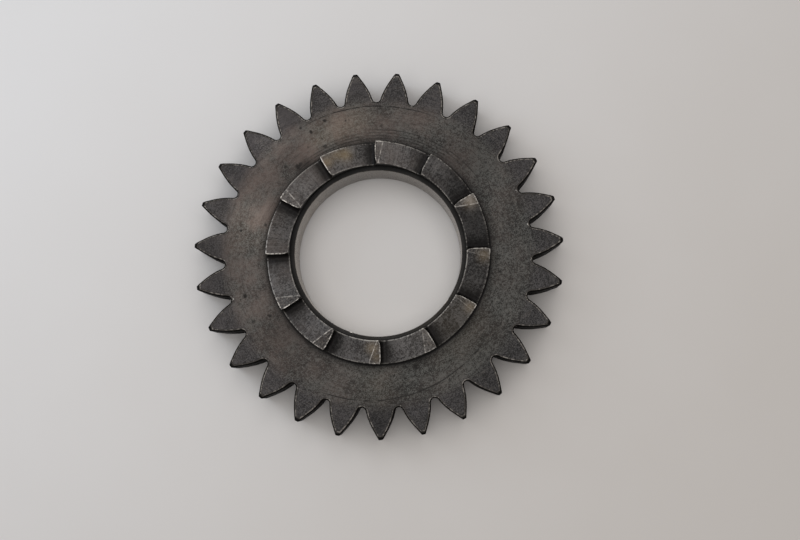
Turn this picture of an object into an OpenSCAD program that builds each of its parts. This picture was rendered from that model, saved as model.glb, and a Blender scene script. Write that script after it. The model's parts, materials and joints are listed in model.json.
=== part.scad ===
// Kickstart gear: a spur gear with a one-way face ratchet standing round its bore.
// The bore runs along Z, and the plain back face lies on Z = 0, so the ratchet faces up.
// +X passes through the middle of a gear tooth, and one ratchet crest lies close to it.

/* [Gear teeth] */
// Number of gear teeth
gear_teeth = 27; // [24:1:34]
// Module, the pitch diameter for each tooth
gear_module = 2; // [1.9:0.05:2.2]
// Pressure angle of the flanks, in degrees
pressure_angle = 20; // [18:0.5:22]
// Profile shift, in modules: how far the teeth are moved outwards
profile_shift = 0.95; // [0.75:0.05:1.1]
// Height of the teeth above the shifted pitch circle
addendum = 2.2; // [1.8:0.05:2.4]
// Whole depth of the teeth, from the tip down to the rounded root
tooth_depth = 5.2; // [4.4:0.05:5.4]
// Turned chamfer at the tips of the teeth, on both faces
tip_chamfer = 0.65; // [0.2:0.05:1]

/* [Body] */
// Width of the gear, from the back face to the face round the ratchet
face_w = 7.5; // [5:0.1:14]
// Diameter of the plain bore
bore_d = 28; // [22:0.1:30]
// Chamfer of the bore at the back face
bore_chamfer = 0.5; // [0.2:0.05:1]

/* [Ratchet] */
// Number of ratchet teeth
ratchet_teeth = 12; // [8:1:16]
// Angle from the middle of a gear tooth on to a ratchet crest, anticlockwise, in degrees
ratchet_turn = 0.8; // [0:0.1:13]
// Width of the flat ledge between the bore and the ratchet ring
ledge_w = 0.75; // [0.4:0.05:1.5]
// Width of the ratchet ring, from its inner wall to its outer wall
ring_w = 3.85; // [3:0.05:4.5]
// Height of the ratchet crests above the gear's face
crest_h = 2.6; // [1.8:0.05:4]
// Height of the ratchet roots above the gear's face, at the ring's outer wall
root_h = 0.4; // [0.1:0.05:0.8]
// Angle taken by the narrow land on each crest, in degrees
crest_land = 0.8; // [0.4:0.1:2]
// Radius of the fillet where a ramp runs into the next wall
ramp_fillet = 0.7; // [0.3:0.05:0.9]

/* [Hidden] */
$fn = 96;

// Crests whose outer corner is worn off: the crest's number, counted anticlockwise from
// +X, and how far the wear reaches along the ring's outer edge
worn_crests = [
    [0, 2.0], [2, 1.4], [4, 1.95], [6, 2.4], [7, 2.3], [8, 2.0], [9, 2.2], [10, 1.3], [11, 1.6]
];
// Share of the ramp's fall that is worn off at the outer corner of such a crest
worn_share = 0.5;
// Wear at the inner corner of such a crest
worn_in = 0.015;
// How far cutting shapes run past the surfaces that they cut
past = 0.5;
// Straight steps that stand for one flank, and for one root round
flank_steps = 7;
root_steps = 6;

rad = 180 / PI;
pitch_r = gear_module * gear_teeth / 2;
base_r = pitch_r * cos(pressure_angle);
tip_r = pitch_r + gear_module * profile_shift + addendum;
root_r = tip_r - tooth_depth;
bore_r = bore_d / 2;
ring_in_r = bore_r + ledge_w;
ring_out_r = ring_in_r + ring_w;
crest_z = face_w + crest_h;

// The involute function of an angle, in degrees
function involute(a) = tan(a) * rad - a;

// Half angle of a tooth space, from its middle to the flank, at the base circle
pitch_half = (PI / 2 - 2 * profile_shift * tan(pressure_angle)) / gear_teeth * rad;
base_half = pitch_half - involute(pressure_angle);

// The root is one round that meets both flanks without a corner. Its centre lies on the
// string that touches the base circle at this angle from the middle of the space.
function root_reach(a) = base_r * (1 / cos(a) - tan(a) + (a - base_half) / rad);
function root_angle(low, high, turns) =
    let (middle = (low + high) / 2)
    turns == 0 ? middle
    : root_reach(middle) < root_r ? root_angle(middle, high, turns - 1)
    : root_angle(low, middle, turns - 1);
round_a = root_angle(0, 45, 30);
round_centre = base_r / cos(round_a);
round_r = round_centre - root_reach(round_a);
flank_start_r = base_r / cos(atan((round_a - base_half) / rad));
flank_end_r = tip_r + past;

// One flank of a tooth space, above +X, from the root outwards
flank = [
    for (i = [0 : flank_steps])
    let (
        r = flank_start_r + (flank_end_r - flank_start_r) * i / flank_steps,
        a = base_half + involute(acos(base_r / r))
    )
    r * [cos(a), sin(a)]
];
root_round = [
    for (i = [1 : root_steps - 1])
    let (a = 90 + round_a + (180 - 2 * round_a) * i / root_steps)
    [round_centre, 0] + round_r * [cos(a), sin(a)]
];

// Slope of the ratchet ramps: each rises from its root to the next crest along a plane
// through one point of the axis at crest height, so that every crest lies level.
ramp_span = 360 / ratchet_teeth - crest_land;
ramp_rise = (crest_h - root_h) / (ring_out_r * tan(ramp_span));
root_tilt = atan(ramp_rise * tan(ramp_span));
ramp_a = atan(ramp_rise * cos(root_tilt));

// The turned blank: bore, back face, chamfered rim, face, and the plain ratchet ring. Its round
// surfaces start in the middle of a ramp, where no crest or wall runs through the seam.
module turned_blank() {
    rotate(ratchet_turn - 180 / ratchet_teeth) rotate_extrude() polygon([
        [bore_r + bore_chamfer, 0],
        [tip_r - tip_chamfer, 0],
        [tip_r, tip_chamfer],
        [tip_r, face_w - tip_chamfer],
        [tip_r - tip_chamfer, face_w],
        [ring_out_r, face_w],
        [ring_out_r, crest_z],
        [ring_in_r, crest_z],
        [ring_in_r, face_w],
        [bore_r, face_w],
        [bore_r, bore_chamfer]
    ]);
}

// What the gear cutter takes out between two teeth, about +X
module tooth_space() {
    outline = concat(
        [for (i = [flank_steps : -1 : 0]) flank[i]],
        root_round,
        [for (p = flank) [p[0], -p[1]]]
    );
    translate([0, 0, -past]) linear_extrude(face_w + 2 * past) polygon(outline);
}

// What is taken out of the ring between one wall, on the XZ plane, and the next crest
module ratchet_notch() {
    top = crest_h + past;
    fillet_z = ramp_fillet * (tan(ramp_a) + 1 / cos(ramp_a));
    fillet_steps = 5;
    outline = concat(
        [[0, top]],
        [
            for (i = [0 : fillet_steps])
            let (a = 180 + (90 + ramp_a) * i / fillet_steps)
            [ramp_fillet * (1 + cos(a)), fillet_z + ramp_fillet * sin(a)]
        ],
        [[top / tan(ramp_a), top]]
    );
    translate([0, 0, crest_z]) rotate([0, root_tilt, 0]) rotate([90, 0, 90])
        linear_extrude(ring_out_r / cos(root_tilt) + past + top) polygon(outline);
}

// What is worn off the outer corner of the crest on +X: a flat that starts just under the
// crest's inner corner and runs out on the ramp, some way along the ring's outer edge
module crest_wear(reach) {
    a = reach / ring_out_r * rad;
    fall = ramp_rise * ring_out_r * sin(a - crest_land) / cos(ramp_span);
    worn = worn_share * fall;
    tilt = atan((worn - worn_in) / ring_w);
    slope = (fall - worn) / reach;
    outline = [
        [-2 * reach, -2 * reach * slope],
        [past, past * slope],
        [past, crest_h],
        [-2 * reach, crest_h]
    ];
    translate([ring_in_r, 0, crest_z - worn_in]) rotate([0, tilt, 0]) rotate([90, 0, 90])
        translate([0, 0, -past]) linear_extrude(ring_w + 2 * past) polygon(outline);
}

module kickstart_gear() {
    color([0.26, 0.25, 0.24]) difference() {
        turned_blank();
        for (i = [0 : gear_teeth - 1]) rotate((i + 0.5) * 360 / gear_teeth) tooth_space();
        for (i = [0 : ratchet_teeth - 1])
            rotate(ratchet_turn + i * 360 / ratchet_teeth) ratchet_notch();
        for (worn = worn_crests) if (worn[0] < ratchet_teeth)
            rotate(ratchet_turn + worn[0] * 360 / ratchet_teeth) crest_wear(worn[1]);
    }
}

kickstart_gear();
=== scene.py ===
import json
import math

import bmesh
import bpy
import numpy as np
from mathutils import Matrix, Vector


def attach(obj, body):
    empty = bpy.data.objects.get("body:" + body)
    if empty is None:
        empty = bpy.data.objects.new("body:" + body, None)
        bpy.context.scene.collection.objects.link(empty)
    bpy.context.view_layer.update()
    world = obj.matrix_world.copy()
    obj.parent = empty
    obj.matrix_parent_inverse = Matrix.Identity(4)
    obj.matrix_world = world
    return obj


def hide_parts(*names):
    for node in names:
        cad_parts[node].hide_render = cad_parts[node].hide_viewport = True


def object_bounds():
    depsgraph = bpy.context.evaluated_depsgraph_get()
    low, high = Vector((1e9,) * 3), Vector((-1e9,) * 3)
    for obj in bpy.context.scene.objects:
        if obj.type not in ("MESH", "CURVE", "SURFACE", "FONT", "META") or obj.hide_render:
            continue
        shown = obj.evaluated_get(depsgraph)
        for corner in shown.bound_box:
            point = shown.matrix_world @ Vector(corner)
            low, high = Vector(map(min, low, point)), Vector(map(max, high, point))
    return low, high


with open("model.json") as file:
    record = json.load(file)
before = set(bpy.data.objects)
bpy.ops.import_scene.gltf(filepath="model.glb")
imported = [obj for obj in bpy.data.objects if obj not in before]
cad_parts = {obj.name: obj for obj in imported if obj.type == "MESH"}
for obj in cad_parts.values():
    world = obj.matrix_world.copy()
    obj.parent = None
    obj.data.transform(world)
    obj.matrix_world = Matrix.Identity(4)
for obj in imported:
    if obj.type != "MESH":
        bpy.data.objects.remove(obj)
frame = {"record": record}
cad_low, cad_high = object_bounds()

# The tooth sector: one pitch of the toothed body, from the middle of one tooth space to the
# middle of the next, with the web in front of it and the back face under it. On the real gear
# the teeth are hobbed into a turned steel blank, and their edges are broken by hand.
mm = 0.001
gear_teeth = 27
gear_module = 2.0 * mm
pressure_angle = math.radians(20)
profile_shift = 0.95
tooth_depth = 5.2 * mm
tip_chamfer = 0.65 * mm
edge_break = 0.26 * mm
back_edge_break = 0.1 * mm
tip_corner = 0.03 * mm
tip_swell = 0.1 * mm
face_z = 7.5 * mm
bore_r = frame["record"]["mounts"][0]["dims"]["r_mm"] * mm
bore_chamfer = 0.5 * mm
ring_in_r = bore_r + 0.75 * mm
ring_out_r = ring_in_r + 3.85 * mm
tip_r = cad_high.x
root_steps, flank_steps, tip_steps = 4, 10, 4
tooth_columns = 2 * (root_steps + flank_steps + tip_steps)
TURNED_FACE, TOOTH_SIDE, RATCHET, BORE_WALL, LEDGE = range(5)


def involute(angle):
    return math.tan(angle) - angle


pitch_r = gear_module * gear_teeth / 2
base_r = pitch_r * math.cos(pressure_angle)
space_at_pitch = (math.pi / 2 - 2 * profile_shift * math.tan(pressure_angle)) / gear_teeth
space_at_base = space_at_pitch - involute(pressure_angle)


def root_reach(angle):
    """Radius of the root when the root round's centre lies on the string touching at this angle."""
    return base_r * (1 / math.cos(angle) - math.tan(angle) + angle - space_at_base)


low_angle, high_angle = 0.0, math.pi / 4
for _ in range(40):
    round_angle = (low_angle + high_angle) / 2
    if root_reach(round_angle) < tip_r - tooth_depth:
        low_angle = round_angle
    else:
        high_angle = round_angle
round_centre = base_r / math.cos(round_angle)
round_r = round_centre - root_reach(round_angle)


def polar(radius, angle):
    return np.stack([radius * np.cos(angle), radius * np.sin(angle)], axis=-1)


def tooth_outline(inset, tip_cut):
    """Outline of one pitch about +X, drawn in by inset at flanks and roots, by tip_cut at the tip."""
    middle_of_space = math.pi / gear_teeth
    swing = round_angle - space_at_base - inset / base_r
    start_r = base_r * math.hypot(1, swing)
    top_r = tip_r - tip_cut

    def flank(radius):
        string = np.arccos(base_r / radius)
        space = space_at_base + inset / base_r + np.tan(string) - string
        space = space - tip_swell / tip_r * np.clip((radius - tip_r) / mm + 1, 0, 1) ** 1.5
        return polar(radius, middle_of_space - space)

    turn = np.linspace(math.pi, 1.5 * math.pi - round_angle, root_steps + 1)[:-1]
    round_points = np.array([round_centre, 0]) + polar(round_r + inset, turn)
    c, s = math.cos(middle_of_space), math.sin(middle_of_space)
    root = round_points @ np.array([[c, s], [-s, c]])
    side = flank(np.linspace(start_r, top_r - tip_corner, flank_steps + 1))
    along = np.linspace(0, 1, tip_steps + 1)[1:, None]
    corner = flank(np.array([top_r]))
    tip = (1 - along) ** 2 * side[-1:] + 2 * along * (1 - along) * corner
    tip = tip + along**2 * np.array([[top_r, 0.0]])
    half = np.concatenate([root, side, tip])
    return np.concatenate([half * (1, -1), half[-2::-1]])


def at_height(outline, z):
    return np.column_stack([outline, np.broadcast_to(z, len(outline))])


def circle_row(radius, z, first_angle, sector, columns):
    return at_height(polar(radius, np.linspace(first_angle, first_angle + sector, columns + 1)), z)


def sector_mesh(name, rows):
    """Mesh of a sector from rows of points.

    A row is (points, bright edge, oil and painted shade, zone of the band after it).
    """
    columns = len(rows[0][0])
    points = np.concatenate([row[0] for row in rows])
    bands = len(rows) - 1
    faces = [
        (j * columns + i, j * columns + i + 1, (j + 1) * columns + i + 1, (j + 1) * columns + i)
        for j in range(bands)
        for i in range(columns - 1)
    ]
    mesh = bpy.data.meshes.new(name)
    mesh.from_pydata(points.tolist(), [], faces)
    for position, layer_name in ((1, "bright_edge"), (2, "oil_and_painted_shade")):
        values = np.concatenate([np.broadcast_to(row[position], columns) for row in rows])
        layer = mesh.attributes.new(layer_name, "FLOAT", "POINT")
        layer.data.foreach_set("value", values.astype(np.float32))
    zones = np.repeat([row[3] for row in rows[:-1]], columns - 1)
    mesh.attributes.new("zone", "INT", "FACE").data.foreach_set("value", zones.astype(np.int32))
    return bpy.data.objects.new(name, mesh)


tooth_sector_angle = 2 * math.pi / gear_teeth


def tooth_circle(radius, z):
    return circle_row(radius, z, -tooth_sector_angle / 2, tooth_sector_angle, tooth_columns)


flank_radius = np.linalg.norm(tooth_outline(0, 0), axis=1)
reach_into_chamfer = flank_radius - (tip_r - tip_chamfer)
web_r = 24.5 * mm


def edge_rows(edge, top, sign):
    """The broken edge round the teeth, from the face at height top to the flank.

    The flank lies below that face (sign -1) or above it (sign 1).
    """
    depth = np.clip(reach_into_chamfer, edge, tip_chamfer)
    flank_z = top + sign * (depth + 0.03 * mm)
    rows = []
    # Each row's dark value, like that of the rows after the loop, is black oil with painted shade on the
    # chamfer and flank
    for inside, down, bright, dark in (
        (0.16, 0.0, 0.0, 0.0),
        (0.08, 0.0, 0.7, 0.0),
        (0.0, 0.008, 1.0, 0.1),
        (-0.05, 0.05, 0.3, 0.8),
    ):
        outline = tooth_outline(edge + inside * mm, tip_chamfer + inside * mm)
        rows.append((at_height(outline, top + sign * down * mm), bright, dark, TOOTH_SIDE))
    for share in (0.5, 0.1):
        outline = tooth_outline(share * edge, share * tip_chamfer)
        rows.append((at_height(outline, top + sign * (1 - share) * depth), 0.0, 1.0, TOOTH_SIDE))
    rows.append((at_height(tooth_outline(0, 0), flank_z), 0.04, 0.9, TOOTH_SIDE))
    return rows


def web_rows(edge_row, z, radii):
    """Circles out to the foot of the teeth, then rows that spread out into the teeth."""
    foot = tooth_circle(web_r, z)
    circles = [(tooth_circle(r, z), 0.0, dark, TURNED_FACE) for r, dark in radii]
    shares = (0.0, 0.3, 0.55, 0.75, 0.9)
    spread = [(foot + (edge_row - foot) * share, 0.0, 0.0, TURNED_FACE) for share in shares]
    return circles + spread


front_edge = edge_rows(edge_break, face_z, -1)
back_edge = edge_rows(back_edge_break, 0.0, 1)
# The web's rows at the ring's foot: a black line of painted shade with oil in it
ring_foot = [(ring_out_r, 1.0), (ring_out_r + 0.22 * mm, 0.95), (ring_out_r + 0.42 * mm, 0.0)]
web_circles = [(r, 0.0) for r in np.linspace(ring_out_r + 0.6 * mm, 24.2 * mm, 18)]
front_web = web_rows(front_edge[0][0], face_z, ring_foot + web_circles)
back_circles = [(r, 0.0) for r in (bore_r + bore_chamfer, bore_r + 0.8 * mm, 18 * mm, 21 * mm)]
back_web = web_rows(back_edge[0][0], 0.0, back_circles)
flank_outline = tooth_outline(0, 0)
# The flanks carry painted shade as well as oil
flanks = [(at_height(flank_outline, z * mm), 0.0, 0.65, TOOTH_SIDE) for z in (1.9, 3.75, 5.6)]
bore_foot = [(tooth_circle(bore_r, bore_chamfer), 0.0, 0.0, LEDGE)]
front_edge[0] = front_edge[0][:3] + (TURNED_FACE,)
tooth_rows = bore_foot + back_web + back_edge + flanks + front_edge[::-1] + front_web[::-1]
tooth_sector = sector_mesh("tooth_sector", tooth_rows)

# The ratchet sector: one saw-shaped tooth of the ring round the bore, from one crest to the
# next, with the ledge inside it and the bore wall below. On the real gear the ramps are milled
# across the ring, and the bore is ground to run on the kickstart shaft.
ratchet_teeth = 12
ratchet_turn = math.radians(0.8)
crest_z = cad_high.z
root_h = 0.4 * mm
crest_land = math.radians(0.8)
ramp_fillet = 0.7 * mm
crest_round = 0.07 * mm
ring_edge = 0.1 * mm
ratchet_pitch = 2 * math.pi / ratchet_teeth
ramp_span = ratchet_pitch - crest_land
ramp_rise = (crest_z - face_z - root_h) / (ring_out_r * math.tan(ramp_span))
root_tilt = math.atan(ramp_rise * math.tan(ramp_span))
ramp_angle = math.atan(ramp_rise * math.cos(root_tilt))
wall_steps, fillet_steps, ramp_steps, land_steps = 6, 7, 62, 6
ratchet_columns = wall_steps + fillet_steps + ramp_steps + land_steps
wall_out = 0.005 * mm
corner_back = 0.32 * mm
corner_reach = 1.3 * mm


def rubbed_back(radius):
    """How far a crest is rubbed back at this radius: both corners are rounded, the inner one more."""
    inner = max(0.0, 1 - (radius - ring_in_r) / corner_reach)
    outer = max(0.0, 1 - (ring_out_r - radius) / (0.7 * corner_reach))
    return corner_back * (inner**2 + 0.4 * outer**2)


def ratchet_top(radius):
    """Angles and heights of the ring's top at this radius: down one crest's wall, up the next ramp."""
    back = rubbed_back(radius)
    root_z = crest_z - radius * math.tan(root_tilt)
    fillet_z = ramp_fillet * (math.tan(ramp_angle) + 1 / math.cos(ramp_angle))
    wall_z = np.linspace(crest_z - crest_round, root_z + fillet_z, wall_steps)
    wall_x = wall_out - back * np.linspace(1, 0.25, wall_steps)
    wall_z = np.concatenate([[crest_z - 0.3 * crest_round], wall_z[:-1]])
    wall_x = np.concatenate([[-back], wall_x[:-1]])
    turn = np.linspace(math.pi, 1.5 * math.pi + ramp_angle, fillet_steps + 1)[:-1]
    fillet_x = ramp_fillet * (1 + np.cos(turn))
    fillet_top = root_z + fillet_z + ramp_fillet * np.sin(turn)
    end_turn = ratchet_pitch - back / radius
    ramp_end = min(ramp_span, end_turn - 0.25 * crest_land)
    ramp_start = math.asin(ramp_fillet * (1 + math.sin(ramp_angle)) / radius)
    ramp_turn = np.linspace(ramp_start, ramp_end, ramp_steps + 1)
    land_turn = np.linspace(ramp_end, end_turn, land_steps + 1)[1:]
    top_turn = np.concatenate([ramp_turn, land_turn])
    top_z = crest_z - ramp_rise * radius * np.sin(ramp_span - top_turn) / math.cos(ramp_span)
    top_z = np.minimum(top_z, crest_z)
    top_z[-1] -= 0.3 * crest_round
    side_turn = np.arcsin(np.concatenate([wall_x, fillet_x]) / radius)
    whole_turn = ratchet_turn + np.concatenate([side_turn, top_turn])
    return whole_turn, np.concatenate([wall_z, fillet_top, top_z])


column = np.arange(ratchet_columns + 1)
on_crest = np.clip(1.2 - np.minimum(column, ratchet_columns - column) / 4.0, 0, 1)
past_fillet = np.clip(column - wall_steps - fillet_steps, 0, None) / ramp_steps
# In the root under each wall: oil with painted shade, fading up the ramp
in_corner = np.where(column == 0, 0.0, 0.95 * np.exp(-((past_fillet / 0.16) ** 1.4)))
in_corner = np.where(column > ratchet_columns - land_steps, 0.0, in_corner)
crestwards = 0.35 + 0.65 * (column / ratchet_columns) ** 1.5


def ratchet_circle(radius, z):
    return circle_row(radius, z, 0.0, ratchet_pitch, ratchet_columns)


def ring_row(radius, drop, rise=1.0):
    """A row on the ring: rise 1 follows its top, less drop, and rise 0 its foot on the gear's face."""
    turn, top = ratchet_top(radius)
    foot_turn = np.linspace(0.0, ratchet_pitch, ratchet_columns + 1)
    z = face_z + (top - drop - face_z) * rise
    return at_height(polar(radius, foot_turn + (turn - foot_turn) * rise), z)


wall_rises = (0.0, 0.3, 0.6, 0.85)
rounding = ((0.0, 1.6, 0.1), (0.0, 0.75, 0.7), (0.25, 0.25, 1.0), (0.75, 0.0, 0.9), (1.8, 0.0, 0.15))
across = np.linspace(ring_out_r - 3 * ring_edge, ring_in_r + 3 * ring_edge, 21)
# The ring's outer wall and the first row over its edge: black with oil and painted shade
ring_rows = [(ring_row(ring_out_r, 0.0, f), 0.0, 0.9, RATCHET) for f in wall_rises]
for inwards, drop, bright in rounding:
    points = ring_row(ring_out_r - inwards * ring_edge, drop * ring_edge)
    oil_and_shade = np.maximum(in_corner, 0.9 * (drop > 1))
    ring_rows.append((points, np.maximum(bright * crestwards, on_crest), oil_and_shade, RATCHET))
for radius in across:
    ring_rows.append((ring_row(radius, 0.0), on_crest, in_corner, RATCHET))
for inwards, drop, bright in rounding[::-1]:
    points = ring_row(ring_in_r + inwards * ring_edge, drop * ring_edge)
    ring_rows.append((points, np.maximum(bright * crestwards, on_crest), in_corner, RATCHET))
# The ring's inner wall: black with oil and painted shade
for rise in wall_rises[::-1]:
    ring_rows.append((ring_row(ring_in_r, 0.0, rise), 0.0, 1.0, RATCHET))
ring_rows[-1] = ring_rows[-1][:3] + (LEDGE,)
rim = 0.05 * mm
# The ledge next to the ring's inner wall: black with oil and the ring's painted shadow
for radius, bright, dark in (
    (ring_in_r - rim, 0.0, 1.0),
    (ring_in_r - 0.18 * mm, 0.0, 0.9),
    (ring_in_r - 0.3 * mm, 0.0, 0.25),
    (bore_r + 3 * rim, 0.0, 0.25),
    (bore_r + rim, 0.2, 0.25),
):
    ring_rows.append((ratchet_circle(radius, face_z), bright, dark, LEDGE))
ring_rows.append((ratchet_circle(bore_r + 0.3 * rim, face_z - 0.3 * rim), 1.0, 0.0, BORE_WALL))
for z in (face_z - rim, face_z - 6 * rim, 5 * mm, 2.5 * mm, bore_chamfer):
    ring_rows.append((ratchet_circle(bore_r, z), 0.0, 0.0, BORE_WALL))
ratchet_sector = sector_mesh("ratchet_sector", ring_rows)

# The finish of the gear: hot-oil blackened steel that has been handled and run. The faces keep
# a brownish film, corners hold black oil darkened further by painted shade, edges are rubbed
# bright, and the bore is polished.


def place(tree, kind, inputs=(), **settings):
    """A node with its settings and inputs. An input is a plain value or another node's socket."""
    made = tree.nodes.new(kind)
    for name, value in settings.items():
        setattr(made, name, value)
    for key, value in dict(inputs).items():
        if isinstance(value, bpy.types.NodeSocket):
            tree.links.new(value, made.inputs[key])
        else:
            made.inputs[key].default_value = value
    return made


def paint(red, green, blue):
    """A colour from screen values of 0 to 255, as the shader's linear colour."""
    share = [value / 255 for value in (red, green, blue)]
    return [v / 12.92 if v <= 0.04045 else ((v + 0.055) / 1.055) ** 2.4 for v in share] + [1.0]


def sum_of(tree, operation, a, b=0.0, clamp=False):
    return place(tree, "ShaderNodeMath", {0: a, 1: b}, operation=operation, use_clamp=clamp).outputs[0]


def between(tree, value, low, high, new_low=0.0, new_high=1.0):
    sockets = {"Value": value, "From Min": low, "From Max": high, "To Min": new_low, "To Max": new_high}
    return place(tree, "ShaderNodeMapRange", sockets, interpolation_type="SMOOTHSTEP").outputs["Result"]


def mixed(tree, factor, a, b):
    return place(tree, "ShaderNodeMix", {0: factor, 6: a, 7: b}, data_type="RGBA").outputs[2]


def noise(tree, vector, scale, detail=4.0, roughness=0.6):
    sockets = {"Vector": vector, "Scale": scale, "Detail": detail, "Roughness": roughness}
    return place(tree, "ShaderNodeTexNoise", sockets).outputs["Fac"]


def attribute(tree, name):
    return place(tree, "ShaderNodeAttribute", attribute_name=name).outputs["Fac"]


def new_group(name, inputs, outputs):
    """A shader group with named float or colour sockets, its input node and its output node."""
    group = bpy.data.node_groups.new(name, "ShaderNodeTree")
    for direction, sockets in (("INPUT", inputs), ("OUTPUT", outputs)):
        for socket, value in sockets.items():
            kind = "NodeSocketColor" if isinstance(value, list) else "NodeSocketFloat"
            made = group.interface.new_socket(socket, in_out=direction, socket_type=kind)
            made.default_value = value
    return group, group.nodes.new("NodeGroupInput").outputs, group.nodes.new("NodeGroupOutput").inputs


def vector_of(tree, operation, a, b=(0.0, 0.0, 0.0)):
    return place(tree, "ShaderNodeVectorMath", {0: a, 1: b}, operation=operation).outputs[0]


def distance_along(tree, position, way):
    """How far a point lies along a way, which is a vector about 1 long."""
    sockets = {0: position, 1: way}
    return place(tree, "ShaderNodeVectorMath", sockets, operation="DOT_PRODUCT").outputs["Value"]


def flattened(tree, position):
    """A point moved along the bore's axis, on to the plane of the back face."""
    return vector_of(tree, "MULTIPLY", position, (1, 1, 0))


def from_axis(tree, position):
    """Distance of a point from the bore's axis."""
    flat = flattened(tree, position)
    return place(tree, "ShaderNodeVectorMath", {0: flat}, operation="LENGTH").outputs["Value"]


def scaled(tree, vector, factor):
    sockets = {0: vector, "Scale": factor}
    return place(tree, "ShaderNodeVectorMath", sockets, operation="SCALE").outputs[0]


# Bright broken lines where an edge is rubbed through the blackening
rubbed_inputs = {"Cover": 0.5, "Faint": 0.25, "Grain": 2600.0}
rubbed, given, out = new_group("rubbed_edge", rubbed_inputs, {"Mask": 0.0})
where = place(rubbed, "ShaderNodeTexCoord").outputs["Object"]
broken = sum_of(rubbed, "SUBTRACT", noise(rubbed, where, given["Grain"], 2.0, 0.6), 0.5)
patchy = sum_of(rubbed, "SUBTRACT", noise(rubbed, where, 150.0, 2.0), 0.5)
broken = sum_of(rubbed, "MULTIPLY", broken, 2.1)
patchy = sum_of(rubbed, "MULTIPLY", patchy, 1.1)
spread = sum_of(rubbed, "ADD", broken, patchy)
gate = sum_of(rubbed, "SUBTRACT", 0.5, given["Cover"])
through = between(rubbed, sum_of(rubbed, "SUBTRACT", spread, gate), -0.1, 0.16, given["Faint"], 1.0)
worn_through = sum_of(rubbed, "MULTIPLY", attribute(rubbed, "bright_edge"), through)
rubbed.links.new(worn_through, out["Mask"])

# Cloudy film of old oil over the blackening, brown in places, with small dark pits in it
film, given, out = new_group(
    "oil_film",
    {
        "Dark": paint(23, 23, 23),
        "Light": paint(81, 82, 80),
        "Brown": paint(94, 82, 77),
        "Cloud": 150.0,
        "Grain": 2.8,
        "Pits": 1.0,
    },
    {"Color": [0.0, 0.0, 0.0, 1.0], "Fine": 0.0},
)
where = place(film, "ShaderNodeTexCoord").outputs["Object"]
clouds = noise(film, where, given["Cloud"], 4.0, 0.55)
mottled = noise(film, where, 2100.0, 3.0, 0.6)
fine = noise(film, where, 4800.0, 2.0, 0.7)
shade = sum_of(film, "SUBTRACT", sum_of(film, "MULTIPLY", clouds, 1.1), 0.1)
for layer, weight in ((mottled, 1.6), (fine, given["Grain"])):
    lifted = sum_of(film, "MULTIPLY", sum_of(film, "SUBTRACT", layer, 0.5), weight)
    shade = sum_of(film, "ADD", shade, lifted)
filmed = mixed(film, between(film, shade, 0.05, 0.85), given["Dark"], given["Light"])
apart_from_clouds = (0.31, 0.17, 0.05)
browned = vector_of(film, "ADD", where, apart_from_clouds)
browning = between(film, noise(film, browned, 190.0, 4.0, 0.6), 0.3, 0.75, 0.1, 0.7)
browning = sum_of(film, "MULTIPLY", browning, attribute(film, "film_warmth"))
filmed = mixed(film, browning, filmed, given["Brown"])
bent = sum_of(film, "MULTIPLY", sum_of(film, "SUBTRACT", mottled, 0.5), 1.6 * mm)
spot_place = vector_of(film, "ADD", where, bent)
cells = place(film, "ShaderNodeTexVoronoi", {"Vector": spot_place, "Scale": 380.0}).outputs
chosen = place(film, "ShaderNodeSeparateColor", {0: cells["Color"]}).outputs[0]
spot = between(film, cells["Distance"], 0.17, 0.06)
spot = sum_of(film, "MULTIPLY", spot, between(film, chosen, 0.84, 0.9))
spot = sum_of(film, "MULTIPLY", spot, given["Pits"], True)
spotted = mixed(film, sum_of(film, "MULTIPLY", spot, 0.75), filmed, paint(22, 21, 20))
film.links.new(spotted, out["Color"])
film.links.new(fine, out["Fine"])

# Tool lines that run round the bore, or across the ring where Along is fine and Across coarse
tool_lines, given, out = new_group("tool_lines", {"Along": 20.0, "Across": 6500.0}, {"Lines": 0.0})
where = place(tool_lines, "ShaderNodeTexCoord").outputs["Object"]
facing = vector_of(tool_lines, "NORMALIZE", flattened(tool_lines, where))
round_place = scaled(tool_lines, facing, given["Along"])
out_place = sum_of(tool_lines, "MULTIPLY", from_axis(tool_lines, where), given["Across"])
out_place = place(tool_lines, "ShaderNodeCombineXYZ", {2: out_place}).outputs[0]
line_place = vector_of(tool_lines, "ADD", round_place, out_place)
tool_lines.links.new(noise(tool_lines, line_place, 1.0, 3.0, 0.7), out["Lines"])

# A thin scored circle, seen only on the side that it faces
score_inputs = {"Centre X": 0.0, "Centre Y": 0.0, "Radius": 20 * mm}
score_inputs.update({"Facing X": 1.0, "Facing Y": 0.0, "Reach": 0.5})
score, given, out = new_group("scored_circle", score_inputs, {"Mask": 0.0})
where = place(score, "ShaderNodeTexCoord").outputs["Object"]
centre = place(score, "ShaderNodeCombineXYZ", {0: given["Centre X"], 1: given["Centre Y"]}).outputs[0]
off_centre = vector_of(score, "SUBTRACT", where, centre)
off_line = sum_of(score, "SUBTRACT", from_axis(score, off_centre), given["Radius"])
wander = sum_of(score, "SUBTRACT", noise(score, where, 200.0, 2.0), 0.5)
wander = sum_of(score, "MULTIPLY", wander, 0.3 * mm)
off_line = sum_of(score, "ABSOLUTE", sum_of(score, "ADD", off_line, wander))
on_line = between(score, off_line, 0.14 * mm, 0.04 * mm)
facing = vector_of(score, "NORMALIZE", flattened(score, where))
towards = place(score, "ShaderNodeCombineXYZ", {0: given["Facing X"], 1: given["Facing Y"]}).outputs[0]
faced = distance_along(score, facing, towards)
on_side = between(score, faced, given["Reach"], sum_of(score, "ADD", given["Reach"], 0.12))
broken = between(score, noise(score, where, 600.0, 3.0), 0.3, 0.52)
on_line = sum_of(score, "MULTIPLY", on_line, sum_of(score, "MULTIPLY", on_side, broken))
score.links.new(on_line, out["Mask"])

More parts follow.
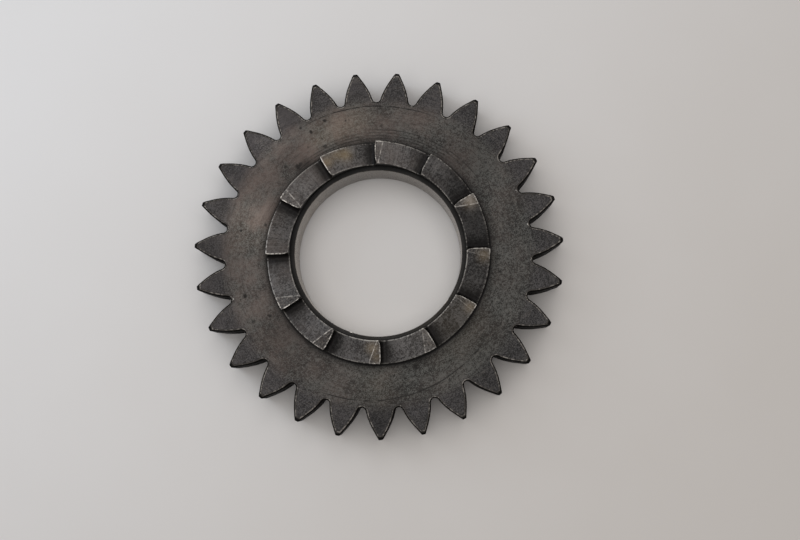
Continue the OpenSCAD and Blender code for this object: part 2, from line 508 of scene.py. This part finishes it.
# A small spot with a ragged rim: a pit filled with old oil, or a fresh nick
spot_inputs = {"Centre X": 0.0, "Centre Y": 0.0, "Size": 0.4 * mm, "Depth": 1.0}
pit, given, out = new_group("small_spot", spot_inputs, {"Mask": 0.0})
where = place(pit, "ShaderNodeTexCoord").outputs["Object"]
centre = place(pit, "ShaderNodeCombineXYZ", {0: given["Centre X"], 1: given["Centre Y"]}).outputs[0]
off_centre = vector_of(pit, "SUBTRACT", where, centre)
ragged = sum_of(pit, "SUBTRACT", noise(pit, where, 2600.0, 2.0), 0.5)
ragged = sum_of(pit, "MULTIPLY", ragged, sum_of(pit, "MULTIPLY", given["Size"], 1.6))
from_centre = sum_of(pit, "ADD", from_axis(pit, off_centre), ragged)
inside = between(pit, from_centre, given["Size"], sum_of(pit, "MULTIPLY", given["Size"], 0.35))
pit.links.new(sum_of(pit, "MULTIPLY", inside, given["Depth"]), out["Mask"])


def use_group(tree, group, **inputs):
    return place(tree, "ShaderNodeGroup", inputs, node_tree=group).outputs


def new_finish(name, metallic):
    """A material with its Principled shader, whose metal share is the same all over."""
    material = bpy.data.materials.new(name)
    material.use_nodes = True
    shader = material.node_tree.nodes["Principled BSDF"]
    shader.inputs["Metallic"].default_value = metallic
    return material, material.node_tree, shader


def bump(tree, shader, height, distance):
    made = place(tree, "ShaderNodeBump", {"Height": height, "Distance": distance, "Strength": 1.0})
    tree.links.new(made.outputs["Normal"], shader.inputs["Normal"])


# Black for oil, also used as painted shade in corners, under walls and on chamfers
oil_and_shade_black = paint(8, 7, 7)
pit_black = paint(20, 18, 17)
score_black = paint(19, 18, 18)
bright_steel = paint(205, 200, 194)
fresh_steel = paint(238, 235, 230)
rubbed_grey = paint(140, 135, 130)
stain_brown = paint(114, 99, 75)


def toned(tree, colour):
    """The colour with this gear's own lighter, darker and stained places and its painted shade, from its
    points.
    """
    factor = sum_of(tree, "ADD", sum_of(tree, "MULTIPLY", attribute(tree, "tone_and_painted_shade"), 1.2), 1.0)
    colour = scaled(tree, colour, sum_of(tree, "MAXIMUM", factor, 0.15))
    stain = sum_of(tree, "MULTIPLY", attribute(tree, "brown_stain"), 0.6, True)
    return mixed(tree, stain, colour, stain_brown)


# The turned faces: concentric tool lines, a warm film on the web, cooler and darker teeth, scored
# circles, pits and a few fresh nicks. The pits are placed by their angle in the photograph, which
# shows the gear turned by photo_turn.
photo_turn = math.radians(30.952)
warm_out_r, cool_in_r = 24.6 * mm, 27.2 * mm
# Centre X and Y, radius, the way it faces in X and Y, the cosine from which it shows, and how black
scored_circles = (
    (-1.876 * mm, -0.299 * mm, 23.4 * mm, -0.28, -0.96, 0.75, 0.75),
    (0.0, 0.0, 25.15 * mm, 0.44, 0.9, 0.86, 0.85),
    (0.0, 0.0, 21.05 * mm, 0.83, 0.56, 0.82, 0.6),
    (0.0, 0.0, 20.55 * mm, 0.63, 0.78, 0.75, 0.4),
    (0.0, 0.0, 20.05 * mm, 0.52, 0.86, 0.75, 0.5),
    (0.0, 0.0, 19.55 * mm, 0.45, 0.89, 0.7, 0.55),
)
# Angle in degrees, radius and size in mm, and how black
oil_pits = (
    (198, 23.46, 0.45, 0.85), (198.9, 24.3, 0.2, 0.6), (170.7, 23.46, 0.3, 0.9), (173.3, 23.9, 0.4, 0.4),
    (166.1, 19.6, 0.4, 0.7), (136.8, 21.56, 0.45, 0.6), (121.9, 25.2, 0.3, 0.7), (119, 23.7, 0.45, 0.85),
    (112.2, 24.45, 0.4, 0.85), (104, 23.3, 0.25, 0.7), (102.6, 23.3, 0.2, 0.6), (123.6, 21.7, 0.25, 0.5),
    (116.2, 21.7, 0.25, 0.5), (116.6, 20.4, 0.45, 0.7), (133, 20.2, 0.6, 0.75), (131, 20.1, 0.5, 0.7),
    (88.9, 21.8, 0.45, 0.5), (56.7, 22.0, 0.35, 0.5), (23.6, 24.1, 0.4, 0.4), (13.4, 23.9, 0.9, 0.3),
    (-44.6, 23.9, 0.35, 0.5), (-45.7, 24.3, 0.25, 0.5), (-60.4, 24.4, 0.4, 0.55),
    (-56.6, 19.6, 0.5, 0.5), (-71.7, 20.07, 0.55, 0.8), (-82.6, 20.7, 0.25, 0.6), (-84, 20.7, 0.25, 0.6),
    (-117.7, 25.8, 0.35, 0.8), (-149.5, 20.96, 0.45, 0.75), (-115, 22.9, 0.5, 0.35),
)
# Tooth spaces, counted anticlockwise from +X, that have a fresh nick at the root
nicked_spaces = (-3, -2, -1, 12)
nick_size = 0.32 * mm
nick_r = tip_r - tooth_depth - 0.22 * mm
turned_face, tree, shader = new_finish("turned_face", 0.55)
shader.inputs["Specular IOR Level"].default_value = 0.2
where = place(tree, "ShaderNodeTexCoord").outputs["Object"]
radius = from_axis(tree, where)
height = place(tree, "ShaderNodeSeparateXYZ", {0: where}).outputs[2]
in_front = between(tree, height, 6 * mm, 7 * mm)
film_out = use_group(tree, film)
cool = use_group(
    tree,
    film,
    Dark=paint(21, 21, 22),
    Light=paint(70, 68, 69),
    Brown=paint(61, 58, 59),
    Cloud=330.0,
    Grain=4.8,
    Pits=0.7,
)
on_teeth = between(tree, radius, warm_out_r, cool_in_r, 0.0, 0.95)
colour = mixed(tree, on_teeth, film_out["Color"], cool["Color"])
fine_lines = use_group(tree, tool_lines, Along=26.0, Across=6500.0)["Lines"]
coarse_lines = use_group(tree, tool_lines, Along=9.0, Across=2100.0)["Lines"]
groove_black, ridge_grey = paint(30, 29, 28), paint(98, 93, 88)
for grooves, shine in ((fine_lines, 0.2), (coarse_lines, 0.25)):
    colour = mixed(tree, between(tree, grooves, 0.5, 0.75, 0.0, 0.45), colour, groove_black)
    colour = mixed(tree, between(tree, grooves, 0.48, 0.25, 0.0, shine), colour, ridge_grey)
colour = toned(tree, colour)
for centre_x, centre_y, score_r, facing_x, facing_y, reach, depth in scored_circles:
    sockets = {"Centre X": centre_x, "Centre Y": centre_y, "Radius": score_r}
    sockets.update({"Facing X": facing_x, "Facing Y": facing_y, "Reach": reach})
    mask = use_group(tree, score, **sockets)["Mask"]
    mask = sum_of(tree, "MULTIPLY", mask, sum_of(tree, "MULTIPLY", in_front, depth))
    colour = mixed(tree, mask, colour, score_black)
# A black band round the ring's foot on the web: painted shade with oil in it
ragged = sum_of(tree, "MULTIPLY", sum_of(tree, "SUBTRACT", film_out["Fine"], 0.5), 0.8 * mm)
near_ring = sum_of(tree, "ADD", sum_of(tree, "SUBTRACT", radius, ring_out_r), ragged)
for reach, depth in ((2.2 * mm, 0.45), (0.9 * mm, 0.75)):
    foot_shade_and_oil = sum_of(tree, "MULTIPLY", between(tree, near_ring, reach, 0.0, 0.0, depth), in_front)
    colour = mixed(tree, foot_shade_and_oil, colour, oil_and_shade_black)
for angle, pit_r, size, depth in oil_pits:
    pit_x, pit_y = polar(pit_r * mm, math.radians(angle) - photo_turn)
    sockets = {"Centre X": pit_x, "Centre Y": pit_y, "Size": size * mm, "Depth": depth}
    mask = use_group(tree, pit, **sockets)["Mask"]
    colour = mixed(tree, sum_of(tree, "MULTIPLY", mask, in_front), colour, pit_black)
# Oil and painted shade in corners and on edges, from the points
colour = mixed(tree, attribute(tree, "oil_and_painted_shade"), colour, oil_and_shade_black)
colour = mixed(tree, use_group(tree, rubbed, Cover=0.45)["Mask"], colour, rubbed_grey)
for space in nicked_spaces:
    nick_x, nick_y = polar(nick_r, (space + 0.5) * tooth_sector_angle)
    sockets = {"Centre X": nick_x, "Centre Y": nick_y, "Size": nick_size, "Depth": 1.0}
    mask = use_group(tree, pit, **sockets)["Mask"]
    colour = mixed(tree, sum_of(tree, "MULTIPLY", mask, in_front), colour, fresh_steel)
tree.links.new(colour, shader.inputs["Base Color"])
tree.links.new(between(tree, film_out["Fine"], 0.2, 0.8, 0.42, 0.62), shader.inputs["Roughness"])
bump(tree, shader, sum_of(tree, "ADD", fine_lines, film_out["Fine"]), 0.016 * mm)

# The tooth flanks and broken edges: black with oil and painted shade, rubbed where they meet the faces
tooth_side, tree, shader = new_finish("tooth_side", 0.0)
shader.inputs["Specular IOR Level"].default_value = 0.06
film_out = use_group(
    tree,
    film,
    Dark=paint(7, 7, 7),
    Light=paint(24, 22, 21),
    Brown=paint(24, 20, 18),
    Cloud=260.0,
    Pits=0.3,
)
in_corner_share = sum_of(tree, "MULTIPLY", attribute(tree, "oil_and_painted_shade"), 0.9)
colour = mixed(tree, in_corner_share, film_out["Color"], oil_and_shade_black)
colour = mixed(tree, use_group(tree, rubbed, Cover=0.45)["Mask"], colour, rubbed_grey)
tree.links.new(colour, shader.inputs["Base Color"])
tree.links.new(between(tree, film_out["Fine"], 0.2, 0.8, 0.55, 0.8), shader.inputs["Roughness"])
bump(tree, shader, film_out["Fine"], 0.012 * mm)

# The ratchet: radial milling lines on the ramps, bright crests, black with oil and painted shade under
# the walls
ratchet_finish, tree, shader = new_finish("ratchet_steel", 0.7)
shader.inputs["Specular IOR Level"].default_value = 0.2
film_out = use_group(
    tree,
    film,
    Dark=paint(27, 27, 28),
    Light=paint(80, 79, 79),
    Brown=paint(74, 68, 65),
    Cloud=330.0,
    Grain=2.2,
    Pits=0.6,
)
milled_lines = use_group(tree, tool_lines, Along=85.0, Across=150.0)["Lines"]
groove_black, ridge_grey = paint(30, 30, 30), paint(96, 94, 92)
in_groove = between(tree, milled_lines, 0.5, 0.7, 0.0, 0.5)
colour = mixed(tree, in_groove, film_out["Color"], groove_black)
colour = mixed(tree, between(tree, milled_lines, 0.45, 0.25, 0.0, 0.3), colour, ridge_grey)
colour = toned(tree, colour)
where = place(tree, "ShaderNodeTexCoord").outputs["Object"]
speckle = between(tree, noise(tree, where, 3200.0, 3.0, 0.7), 0.5, 0.64)
worn_grey = paint(108, 102, 96)
depth_of_wear = attribute(tree, "wear_depth")
worn = between(tree, depth_of_wear, -0.004, 0.01)
worn = sum_of(tree, "MULTIPLY", worn, sum_of(tree, "MULTIPLY", speckle, 0.45))
colour = mixed(tree, worn, colour, worn_grey)
worn_rim = between(tree, sum_of(tree, "ABSOLUTE", depth_of_wear), 0.018, 0.005)
rim_broken = between(tree, noise(tree, where, 1500.0, 3.0, 0.7), 0.38, 0.6, 0.0, 0.9)
rim_broken = sum_of(tree, "MULTIPLY", rim_broken, attribute(tree, "rim_shine"))
worn_rim = sum_of(tree, "MULTIPLY", worn_rim, rim_broken, True)
colour = mixed(tree, worn_rim, colour, bright_steel)
in_corner_share = sum_of(tree, "MULTIPLY", attribute(tree, "oil_and_painted_shade"), 0.9)
colour = mixed(tree, in_corner_share, colour, oil_and_shade_black)
edge_mask = use_group(tree, rubbed, Cover=0.54, Faint=0.14, Grain=2500.0)["Mask"]
colour = mixed(tree, edge_mask, colour, bright_steel)
tree.links.new(colour, shader.inputs["Base Color"])
tree.links.new(between(tree, film_out["Fine"], 0.2, 0.8, 0.36, 0.54), shader.inputs["Roughness"])
bump(tree, shader, sum_of(tree, "ADD", milled_lines, film_out["Fine"]), 0.016 * mm)

# The bore wall: ground, with fine lines round it, darker grey on one side and polished by the shaft
# on the other. Each side is given by its angle in the photograph, the cosines from it where it starts
# and is full, its share and its colour.
darker_grey = paint(84, 80, 77)
polished_steel = paint(226, 222, 216)
bore_sides = ((90, 0.4, 1.0, 0.55, darker_grey), (255, 0.62, 0.92, 0.9, polished_steel))
bore_finish, tree, shader = new_finish("bore_wall", 0.9)
where = place(tree, "ShaderNodeTexCoord").outputs["Object"]
upright = vector_of(tree, "MULTIPLY", where, (60, 60, 6000))
ground_lines = noise(tree, upright, 1.0, 3.0, 0.7)
film_out = use_group(
    tree,
    film,
    Dark=paint(140, 135, 129),
    Light=paint(186, 181, 174),
    Brown=paint(150, 136, 123),
    Cloud=200.0,
    Pits=0.3,
)
in_lines = between(tree, ground_lines, 0.45, 0.75, 0.0, 0.45)
colour = mixed(tree, in_lines, film_out["Color"], darker_grey)
for angle, first, last, share, tint in bore_sides:
    way = (*polar(1.0, math.radians(angle) - photo_turn), 0.0)
    towards = distance_along(tree, where, way)
    on_side = between(tree, towards, first * bore_r, last * bore_r, 0.0, share)
    colour = mixed(tree, on_side, colour, tint)
tree.links.new(colour, shader.inputs["Base Color"])
tree.links.new(between(tree, film_out["Fine"], 0.2, 0.8, 0.22, 0.36), shader.inputs["Roughness"])
bump(tree, shader, ground_lines, 0.006 * mm)

# The ledge between the ring and the bore, and the bore's back chamfer: black with old oil, and with
# painted shade next to the ring and on one side
ledge_finish, tree, shader = new_finish("oil_and_shade_ledge", 0.1)
shader.inputs["Specular IOR Level"].default_value = 0.2
film_out = use_group(
    tree,
    film,
    Dark=paint(16, 15, 15),
    Light=paint(44, 42, 40),
    Brown=paint(40, 35, 31),
    Cloud=260.0,
    Pits=0.4,
)
colour = toned(tree, film_out["Color"])
in_corner_share = sum_of(tree, "MULTIPLY", attribute(tree, "oil_and_painted_shade"), 0.8)
colour = mixed(tree, in_corner_share, colour, oil_and_shade_black)
colour = mixed(tree, use_group(tree, rubbed, Cover=0.45)["Mask"], colour, rubbed_grey)
tree.links.new(colour, shader.inputs["Base Color"])
tree.links.new(between(tree, film_out["Fine"], 0.2, 0.8, 0.4, 0.6), shader.inputs["Roughness"])
bump(tree, shader, film_out["Fine"], 0.01 * mm)

# The gear itself: the two sectors set round the bore and welded into one skin, with small nicks
# along the edges. It is one solid piece, so it is one mesh on one body.
ring_tree = bpy.data.node_groups.new("gear_from_sectors", "GeometryNodeTree")
ring_inputs = {}
for socket, kind in (
    ("Tooth Sector", "NodeSocketObject"),
    ("Gear Teeth", "NodeSocketInt"),
    ("Ratchet Sector", "NodeSocketObject"),
    ("Ratchet Teeth", "NodeSocketInt"),
    ("Weld Distance", "NodeSocketFloat"),
    ("Nick Depth", "NodeSocketFloat"),
    ("Nick Scale", "NodeSocketFloat"),
    ("Seed", "NodeSocketFloat"),
    ("Turned Face", "NodeSocketMaterial"),
    ("Tooth Side", "NodeSocketMaterial"),
    ("Ratchet", "NodeSocketMaterial"),
    ("Bore Wall", "NodeSocketMaterial"),
    ("Ledge", "NodeSocketMaterial"),
):
    made = ring_tree.interface.new_socket(socket, in_out="INPUT", socket_type=kind)
    ring_inputs[socket] = made.identifier
ring_tree.interface.new_socket("Gear", in_out="OUTPUT", socket_type="NodeSocketGeometry")
given = ring_tree.nodes.new("NodeGroupInput").outputs


def round_the_bore(sector, count):
    """A sector set round Z, count times, as instances."""
    points = place(ring_tree, "GeometryNodePoints", {"Count": count}).outputs[0]
    step = sum_of(ring_tree, "DIVIDE", 2 * math.pi, count)
    number = place(ring_tree, "GeometryNodeInputIndex").outputs[0]
    turn = sum_of(ring_tree, "MULTIPLY", number, step)
    rotation = place(ring_tree, "ShaderNodeCombineXYZ", {2: turn}).outputs[0]
    shape = place(ring_tree, "GeometryNodeObjectInfo", {"Object": sector}).outputs["Geometry"]
    sockets = {"Points": points, "Instance": shape, "Rotation": rotation}
    return place(ring_tree, "GeometryNodeInstanceOnPoints", sockets).outputs[0]


both = ring_tree.nodes.new("GeometryNodeJoinGeometry")
for sector, count in (("Tooth Sector", "Gear Teeth"), ("Ratchet Sector", "Ratchet Teeth")):
    ring_tree.links.new(round_the_bore(given[sector], given[count]), both.inputs[0])
skin = place(ring_tree, "GeometryNodeRealizeInstances", {0: both.outputs[0]}).outputs[0]
weld = {"Geometry": skin, "Distance": given["Weld Distance"]}
skin = place(ring_tree, "GeometryNodeMergeByDistance", weld).outputs[0]
here = place(ring_tree, "GeometryNodeInputPosition").outputs[0]
sockets = {"Vector": here, "W": given["Seed"], "Scale": given["Nick Scale"], "Detail": 2.0}
nick_noise = place(ring_tree, "ShaderNodeTexNoise", sockets, noise_dimensions="4D").outputs["Fac"]
nick = between(ring_tree, nick_noise, 0.56, 0.72)
edge_name = {"Name": "bright_edge"}
on_edge = place(ring_tree, "GeometryNodeInputNamedAttribute", edge_name, data_type="FLOAT").outputs[0]
nick = sum_of(ring_tree, "MULTIPLY", nick, on_edge)
nick = sum_of(ring_tree, "MULTIPLY", nick, sum_of(ring_tree, "MULTIPLY", given["Nick Depth"], -1.0))
normal = place(ring_tree, "GeometryNodeInputNormal").outputs[0]
dent = scaled(ring_tree, normal, nick)
skin = place(ring_tree, "GeometryNodeSetPosition", {"Geometry": skin, "Offset": dent}).outputs[0]
zone = place(ring_tree, "GeometryNodeInputNamedAttribute", {"Name": "zone"}, data_type="INT").outputs[0]
for number, finish in enumerate(("Turned Face", "Tooth Side", "Ratchet", "Bore Wall", "Ledge")):
    same = {2: zone, 3: number}
    chosen = place(ring_tree, "FunctionNodeCompare", same, data_type="INT", operation="EQUAL")
    sockets = {"Geometry": skin, "Selection": chosen.outputs[0], "Material": given[finish]}
    skin = place(ring_tree, "GeometryNodeSetMaterial", sockets).outputs[0]
ring_tree.links.new(skin, ring_tree.nodes.new("NodeGroupOutput").inputs[0])

maker = bpy.data.objects.new("gear_maker", bpy.data.meshes.new("gear_maker"))
bpy.context.scene.collection.objects.link(maker)
modifier = maker.modifiers.new("gear_from_sectors", "NODES")
modifier.node_group = ring_tree
for socket, value in (
    ("Tooth Sector", tooth_sector),
    ("Gear Teeth", gear_teeth),
    ("Ratchet Sector", ratchet_sector),
    ("Ratchet Teeth", ratchet_teeth),
    ("Weld Distance", 0.002 * mm),
    ("Nick Depth", 0.07 * mm),
    ("Nick Scale", 800.0),
    ("Seed", 4.0),
    ("Turned Face", turned_face),
    ("Tooth Side", tooth_side),
    ("Ratchet", ratchet_finish),
    ("Bore Wall", bore_finish),
    ("Ledge", ledge_finish),
):
    modifier[ring_inputs[socket]] = value
made = maker.evaluated_get(bpy.context.evaluated_depsgraph_get())
gear_mesh = bpy.data.meshes.new_from_object(made)
gear_mesh.name = "kickstart_gear_skin"
for spare in (maker, tooth_sector, ratchet_sector):
    bpy.data.objects.remove(spare)

# Crests whose outer corner is worn to a flat, as in the solid: the crest's number, anticlockwise
# from +X, how far the wear reaches along the ring's outer edge in mm, the flat's tone and its rim's
# shine. The points keep how far, in mm, they stood above the flat.
worn_crests = (
    (0, 2.0, 0.3, 0.4), (2, 1.4, -0.35, 0.4), (4, 1.95, -0.25, 0.35),
    (6, 2.4, -0.3, 0.28), (7, 2.3, -0.4, 0.6), (8, 2.0, -0.3, 0.5),
    (9, 2.2, -0.2, 0.3), (10, 1.3, -0.3, 0.15), (11, 1.6, -0.1, 0.1),
)
worn_share = 0.5
worn_in = 0.015 * mm
points = np.empty(len(gear_mesh.vertices) * 3, np.float32)
gear_mesh.vertices.foreach_get("co", points)
points = points.reshape(-1, 3).astype(float)
wear_depth = np.full(len(points), -1.0)
tone_and_painted_shade = np.zeros(len(points))
rim_shine = np.zeros(len(points))
for number, reach, flat_tone, shine in worn_crests:
    reach = reach * mm
    turn = ratchet_turn + number * ratchet_pitch
    out = points[:, 0] * math.cos(turn) + points[:, 1] * math.sin(turn)
    side = points[:, 1] * math.cos(turn) - points[:, 0] * math.sin(turn)
    fall = ramp_rise * ring_out_r * math.sin(reach / ring_out_r - crest_land) / math.cos(ramp_span)
    worn = worn_share * fall
    flat = crest_z - worn_in - (out - ring_in_r) * (worn - worn_in) / (ring_out_r - ring_in_r)
    flat = flat + side * (fall - worn) / reach
    near = (side > -2 * reach) & (side < 0.3 * mm) & (out > ring_in_r - mm) & (out < ring_out_r + mm)
    near = near & (points[:, 2] > face_z + 0.8 * mm)
    wear_depth[near] = (points[near, 2] - flat[near]) / mm
    rim_shine[near] = shine
    cut = near & (points[:, 2] > flat)
    tone_and_painted_shade[cut] += flat_tone
    points[cut, 2] = flat[cut]
gear_mesh.vertices.foreach_set("co", points.astype(np.float32).ravel())

# The lighter, darker and stained places of this gear: angle in the photograph in degrees, radius and
# spread in mm, tone (1 is about twice as light) and stain. Each ramp also has a tone of its own, from
# crest 0 on, and one side of the gear is warmer than the other. On one side the ring's edges carry a
# painted highlight, and the ledge and the ring's foot a painted shade.
ramp_tones = (-0.39, -0.2, 0.48, 0.26, 0.5, 0.03, 0.21, 0.1, 0.14, 0.35, -0.08, -0.21)
web_places = (
    (108, 22.3, 3.0, 0.35, 0.2), (98, 22.8, 2.5, 0.25, 0.15), (118, 22.0, 2.2, 0.25, 0.15),
    (134, 22.0, 3.2, -0.1, 0.0), (168, 22.5, 4.5, 0.62, 0.1), (198, 22.0, 4.5, 0.15, 0.0),
    (46, 22.0, 4.5, -0.25, 0.0), (-45, 22.0, 4.5, -0.1, 0.0), (-90, 22.0, 3.0, 0.12, 0.1),
    (-138, 22.0, 4.5, -0.25, 0.0),
)
ramp_places = (
    (119.7, 17.2, 0.9, 0.45, 0.9), (108.8, 17.3, 1.1, 0.4, 1.0), (114, 17.8, 0.9, 0.2, 0.6),
    (28.6, 17.4, 1.1, 1.0, 0.55), (-2.4, 17.6, 1.1, 0.5, 0.5), (-31.5, 17.8, 0.9, 0.3, 0.5),
    (-93.0, 16.0, 1.0, 0.5, 0.65), (-90.4, 17.6, 0.7, -0.1, 0.4), (-130, 16.7, 2.0, 0.2, 0.0),
    (56, 17.2, 1.6, 0.4, 0.0), (-45, 16.7, 6.0, 0.0, 0.12),
)
ring_foot_places = (
    (133.5, 19.5, 0.7, -0.4, 0.0), (129.0, 19.6, 0.9, -0.4, 0.0), (108.0, 19.7, 0.9, -0.3, 0.0),
)
teeth_places = (
    (135, 28.0, 4.0, 0.5, 0.0), (-135, 28.0, 5.0, 0.28, 0.0), (180, 28.0, 4.5, -0.2, 0.0),
    (-90, 28.0, 4.0, -0.27, 0.0), (-45, 28.0, 5.0, -0.14, 0.0),
)
most_shaded_ledge = math.radians(115)
warmest_film = math.radians(145)
brightest_ring_edge = math.radians(155)
dullest_inner_edge = math.radians(135)
darkest_foot_shadow = math.radians(-35)
out_r = np.hypot(points[:, 0], points[:, 1])
gear_angle = np.arctan2(points[:, 1], points[:, 0])
photo_angle = gear_angle + photo_turn
on_ring = (out_r < ring_out_r + 0.02 * mm) & (points[:, 2] > face_z + 0.05 * mm)
round_turn = (gear_angle - ratchet_turn) / ratchet_pitch
ramp_number = np.ceil(round_turn - 0.0005).astype(int) % ratchet_teeth
tone_and_painted_shade += np.where(on_ring, np.array(ramp_tones)[ramp_number], 0.0)
on_ledge = (out_r < ring_in_r - 0.05 * mm) & (points[:, 2] > face_z - 0.05 * mm)
# Painted shadow of the ring on the ledge, darkest on one side
tone_and_painted_shade -= np.where(on_ledge, 0.32 * (1 + np.cos(photo_angle - most_shaded_ledge)), 0.0)
brown_stain = np.zeros(len(points))
film_warmth = 0.65 + 0.45 * np.cos(photo_angle - warmest_film)
edge = np.empty(len(points), np.float32)
gear_mesh.attributes["bright_edge"].data.foreach_get("value", edge)
# Painted highlight on the ring's edges: the outer edge brighter on one side, the inner edge on the other
edge = edge * np.where(on_ring, 0.75 + 0.25 * np.cos(photo_angle - brightest_ring_edge), 1.0)
at_inner_edge = on_ring & (out_r < ring_in_r + 0.4 * mm)
edge = edge * np.where(at_inner_edge, 0.88 - 0.5 * np.cos(photo_angle - dullest_inner_edge), 1.0)
gear_mesh.attributes["bright_edge"].data.foreach_set("value", edge.astype(np.float32))
corner = np.empty(len(points), np.float32)
gear_mesh.attributes["oil_and_painted_shade"].data.foreach_get("value", corner)
# Painted shadow at the ring's foot, darkest on one side
at_foot = (out_r > ring_out_r + 0.02 * mm) & (out_r < ring_out_r + 0.5 * mm)
foot_shadow = np.clip(0.75 + 0.6 * np.cos(photo_angle - darkest_foot_shadow), 0.2, 1.0)
corner = corner * np.where(at_foot, foot_shadow, 1.0)
gear_mesh.attributes["oil_and_painted_shade"].data.foreach_set("value", corner.astype(np.float32))
for angle, radius, spread, tone, stain in web_places + ramp_places + ring_foot_places + teeth_places:
    centre = polar(radius * mm, math.radians(angle) - photo_turn)
    share = np.exp(-((points[:, :2] - centre) ** 2).sum(1) / (spread * mm) ** 2)
    share = share * (points[:, 2] > face_z - mm)
    tone_and_painted_shade += tone * share
    brown_stain += stain * share

for name, values in (
    ("wear_depth", wear_depth),
    ("rim_shine", rim_shine),
    ("tone_and_painted_shade", tone_and_painted_shade),
    ("brown_stain", brown_stain),
    ("film_warmth", film_warmth),
):
    layer = gear_mesh.attributes.new(name, "FLOAT", "POINT")
    layer.data.foreach_set("value", values.astype(np.float32))

skin = bmesh.new()
skin.from_mesh(gear_mesh)
bmesh.ops.recalc_face_normals(skin, faces=skin.faces)
skin.to_mesh(gear_mesh)
skin.free()
gear_mesh.shade_smooth()
sharp_angle = math.radians(38)
gear_mesh.set_sharp_from_angle(angle=sharp_angle)
gear_piece = bpy.data.objects.new("kickstart_gear_skin", gear_mesh)
bpy.context.scene.collection.objects.link(gear_piece)
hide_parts("kickstart_gear")
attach(gear_piece, "root")

# The stage: a plain pale tabletop that the gear lies on, its colour painted a little darker away from
# the window as painted light falloff. A wide soft ceiling light hangs a little to the upper left, a weak
# cool window light comes from further left, and the room adds a weak warm light from all round.
to_gear_frame = Matrix.Rotation(-photo_turn, 4, "Z")
table_half = 1.5
fade_reach = 90 * mm
window_side = paint(216, 216, 218)
far_side = paint(195, 191, 188)
table_mesh = bpy.data.meshes.new("tabletop")
corners = [(-table_half, -table_half, 0), (table_half, -table_half, 0)]
corners += [(table_half, table_half, 0), (-table_half, table_half, 0)]
table_mesh.from_pydata(corners, [], [(0, 1, 2, 3)])
tabletop = bpy.data.objects.new("tabletop", table_mesh)
bpy.context.scene.collection.objects.link(tabletop)
table_finish, tree, shader = new_finish("pale_tabletop", 0.0)
shader.inputs["Roughness"].default_value = 0.7
where = place(tree, "ShaderNodeTexCoord").outputs["Object"]
away = to_gear_frame @ Vector((0.74, -0.67, 0.0))
across_table = distance_along(tree, where, tuple(away))
# Painted light falloff across the table, away from the window
painted_light_falloff = between(tree, across_table, -fade_reach, fade_reach)
cloudy = between(tree, noise(tree, where, 25.0, 3.0), 0.3, 0.7, 0.0, 0.08)
tone = sum_of(tree, "ADD", painted_light_falloff, cloudy, True)
tree.links.new(mixed(tree, tone, window_side, far_side), shader.inputs["Base Color"])
table_mesh.materials.append(table_finish)

world = bpy.data.worlds.new("room")
world.use_nodes = True
room = world.node_tree.nodes["Background"]
room.inputs["Color"].default_value = (1.0, 0.96, 0.92, 1.0)
room.inputs["Strength"].default_value = 0.34
bpy.context.scene.world = world


def soft_light(name, place_mm, size_mm, watts, colour):
    """A square area light that faces the gear.

    Its place is in the photograph's frame: X right, Y up, Z to the camera.
    """
    light = bpy.data.lights.new(name, "AREA")
    light.size = size_mm * mm
    light.energy = watts
    light.color = colour
    lamp = bpy.data.objects.new(name, light)
    spot = to_gear_frame @ (Vector(place_mm) * mm)
    lamp.location = spot
    lamp.rotation_mode = "QUATERNION"
    lamp.rotation_quaternion = (-spot).to_track_quat("-Z", "Y")
    bpy.context.scene.collection.objects.link(lamp)


soft_light("ceiling", (-18, 46, 380), 440, 1.08, (1.0, 0.98, 0.955))
soft_light("window", (-210, 110, 150), 140, 0.14, (0.78, 0.89, 1.0))

# The camera: it looks almost straight down, from a little below and right of the gear's middle in
# the picture, with a lens of about 50 mm. Its place was found from the tooth tips and the two rims
# of the bore in the photograph.
aim = Vector((3.658, -2.885, 7.5)) * mm
distance = 184.69 * mm
lean_down = math.radians(-6.0938)
lean_side = math.radians(-1.2936)
lens_mm = 49.69
view_axis = Vector((-math.sin(lean_side), math.sin(lean_down) * math.cos(lean_side), 0.0))
view_axis.z = math.cos(lean_down) * math.cos(lean_side)
right_axis = Vector((math.cos(lean_side), math.sin(lean_down) * math.sin(lean_side), 0.0))
right_axis.z = math.cos(lean_down) * math.sin(lean_side)
up_axis = view_axis.cross(right_axis)
placed = Matrix((right_axis, up_axis, view_axis)).transposed().to_4x4()
placed.translation = aim + view_axis * distance
camera_data = bpy.data.cameras.new("camera")
camera_data.lens = lens_mm
camera_data.sensor_width = 36
camera_data.clip_start = 0.01
camera = bpy.data.objects.new("camera", camera_data)
bpy.context.scene.collection.objects.link(camera)
camera.matrix_world = to_gear_frame @ placed
bpy.context.scene.camera = camera
bpy.context.scene.view_settings.view_transform = "Standard"
